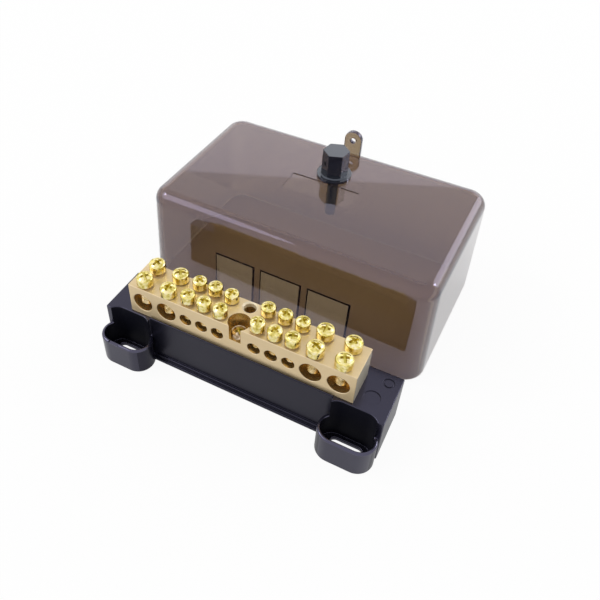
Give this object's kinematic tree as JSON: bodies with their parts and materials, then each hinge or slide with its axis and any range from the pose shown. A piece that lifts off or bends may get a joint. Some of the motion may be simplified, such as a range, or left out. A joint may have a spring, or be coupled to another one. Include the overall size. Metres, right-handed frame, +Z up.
{
  "type": "neutral link",
  "caption": "Brass neutral link with screw terminals on a black slotted base, and its clear smoke cover with sealing screw standing behind.",
  "frame": {"origin": "on the mounting surface, midway between the two fixing slots", "axes": "+X along the bar to the right, +Y from front to back, +Z up away from the mounting surface"},
  "size_m": [0.1376, 0.1345, 0.0646],
  "materials": {
    "black_plastic": "satin moulded",
    "brass": "drawn, pale",
    "yellow_zinc": "zinc plated steel, yellow passivated",
    "smoke_clear": "glossy transparent plastic"
  },
  "bodies": {
    "carrier": {"base": "black_plastic", "neutral_bar": "brass", "bar_fixing_screw": "yellow_zinc", "cover": "smoke_clear"},
    "front_screw_1": {"front_screw_1": "yellow_zinc"},
    "front_screw_2": {"front_screw_2": "yellow_zinc"},
    "front_screw_3": {"front_screw_3": "yellow_zinc"},
    "front_screw_4": {"front_screw_4": "yellow_zinc"},
    "front_screw_5": {"front_screw_5": "yellow_zinc"},
    "front_screw_6": {"front_screw_6": "yellow_zinc"},
    "front_screw_7": {"front_screw_7": "yellow_zinc"},
    "front_screw_8": {"front_screw_8": "yellow_zinc"},
    "front_screw_9": {"front_screw_9": "yellow_zinc"},
    "front_screw_10": {"front_screw_10": "yellow_zinc"},
    "back_screw_1": {"back_screw_1": "yellow_zinc"},
    "back_screw_2": {"back_screw_2": "yellow_zinc"},
    "back_screw_3": {"back_screw_3": "yellow_zinc"},
    "back_screw_4": {"back_screw_4": "yellow_zinc"},
    "back_screw_5": {"back_screw_5": "yellow_zinc"},
    "back_screw_6": {"back_screw_6": "yellow_zinc"},
    "back_screw_7": {"back_screw_7": "yellow_zinc"},
    "back_screw_8": {"back_screw_8": "yellow_zinc"},
    "back_screw_9": {"back_screw_9": "yellow_zinc"},
    "back_screw_10": {"back_screw_10": "yellow_zinc"},
    "sealing_screw": {"sealing_screw": "black_plastic"}
  },
  "joints": [
    {"name": "front_screw_1_travel", "type": "slide", "parent": "carrier", "child": "front_screw_1", "axis": [0, 0, 1], "range_m": [-0.00082, 0.0063]},
    {"name": "front_screw_2_travel", "type": "slide", "parent": "carrier", "child": "front_screw_2", "axis": [0, 0, 1], "range_m": [-0.00015, 0.0063]},
    {"name": "front_screw_3_travel", "type": "slide", "parent": "carrier", "child": "front_screw_3", "axis": [0, 0, 1], "range_m": [-0.00102, 0.00395]},
    {"name": "front_screw_4_travel", "type": "slide", "parent": "carrier", "child": "front_screw_4", "axis": [0, 0, 1], "range_m": [-0.00078, 0.00395]},
    {"name": "front_screw_5_travel", "type": "slide", "parent": "carrier", "child": "front_screw_5", "axis": [0, 0, 1], "range_m": [-0.00064, 0.00395]},
    {"name": "front_screw_6_travel", "type": "slide", "parent": "carrier", "child": "front_screw_6", "axis": [0, 0, 1], "range_m": [-0.00102, 0.00395]},
    {"name": "front_screw_7_travel", "type": "slide", "parent": "carrier", "child": "front_screw_7", "axis": [0, 0, 1], "range_m": [-0.00049, 0.00395]},
    {"name": "front_screw_8_travel", "type": "slide", "parent": "carrier", "child": "front_screw_8", "axis": [0, 0, 1], "range_m": [-0.00099, 0.00395]},
    {"name": "front_screw_9_travel", "type": "slide", "parent": "carrier", "child": "front_screw_9", "axis": [0, 0, 1], "range_m": [-0.0007, 0.0063]},
    {"name": "front_screw_10_travel", "type": "slide", "parent": "carrier", "child": "front_screw_10", "axis": [0, 0, 1], "range_m": [-0.00019, 0.0063]},
    {"name": "back_screw_1_travel", "type": "slide", "parent": "carrier", "child": "back_screw_1", "axis": [0, 0, 1], "range_m": [-0.00093, 0.0063]},
    {"name": "back_screw_2_travel", "type": "slide", "parent": "carrier", "child": "back_screw_2", "axis": [0, 0, 1], "range_m": [-0.00035, 0.0063]},
    {"name": "back_screw_3_travel", "type": "slide", "parent": "carrier", "child": "back_screw_3", "axis": [0, 0, 1], "range_m": [-0.00076, 0.00395]},
    {"name": "back_screw_4_travel", "type": "slide", "parent": "carrier", "child": "back_screw_4", "axis": [0, 0, 1], "range_m": [-0.00102, 0.00395]},
    {"name": "back_screw_5_travel", "type": "slide", "parent": "carrier", "child": "back_screw_5", "axis": [0, 0, 1], "range_m": [-0.00045, 0.00395]},
    {"name": "back_screw_6_travel", "type": "slide", "parent": "carrier", "child": "back_screw_6", "axis": [0, 0, 1], "range_m": [-0.00102, 0.00395]},
    {"name": "back_screw_7_travel", "type": "slide", "parent": "carrier", "child": "back_screw_7", "axis": [0, 0, 1], "range_m": [-0.00087, 0.00395]},
    {"name": "back_screw_8_travel", "type": "slide", "parent": "carrier", "child": "back_screw_8", "axis": [0, 0, 1], "range_m": [-0.00057, 0.00395]},
    {"name": "back_screw_9_travel", "type": "slide", "parent": "carrier", "child": "back_screw_9", "axis": [0, 0, 1], "range_m": [-0.00095, 0.0063]},
    {"name": "back_screw_10_travel", "type": "slide", "parent": "carrier", "child": "back_screw_10", "axis": [0, 0, 1], "range_m": [-0.00024, 0.0063]},
    {"name": "sealing_screw_turn", "type": "hinge", "parent": "carrier", "child": "sealing_screw", "pos_m": [-0.0009, 0.09848, 0.0516], "axis": [0, 0, 1], "continuous": true}
  ]
}
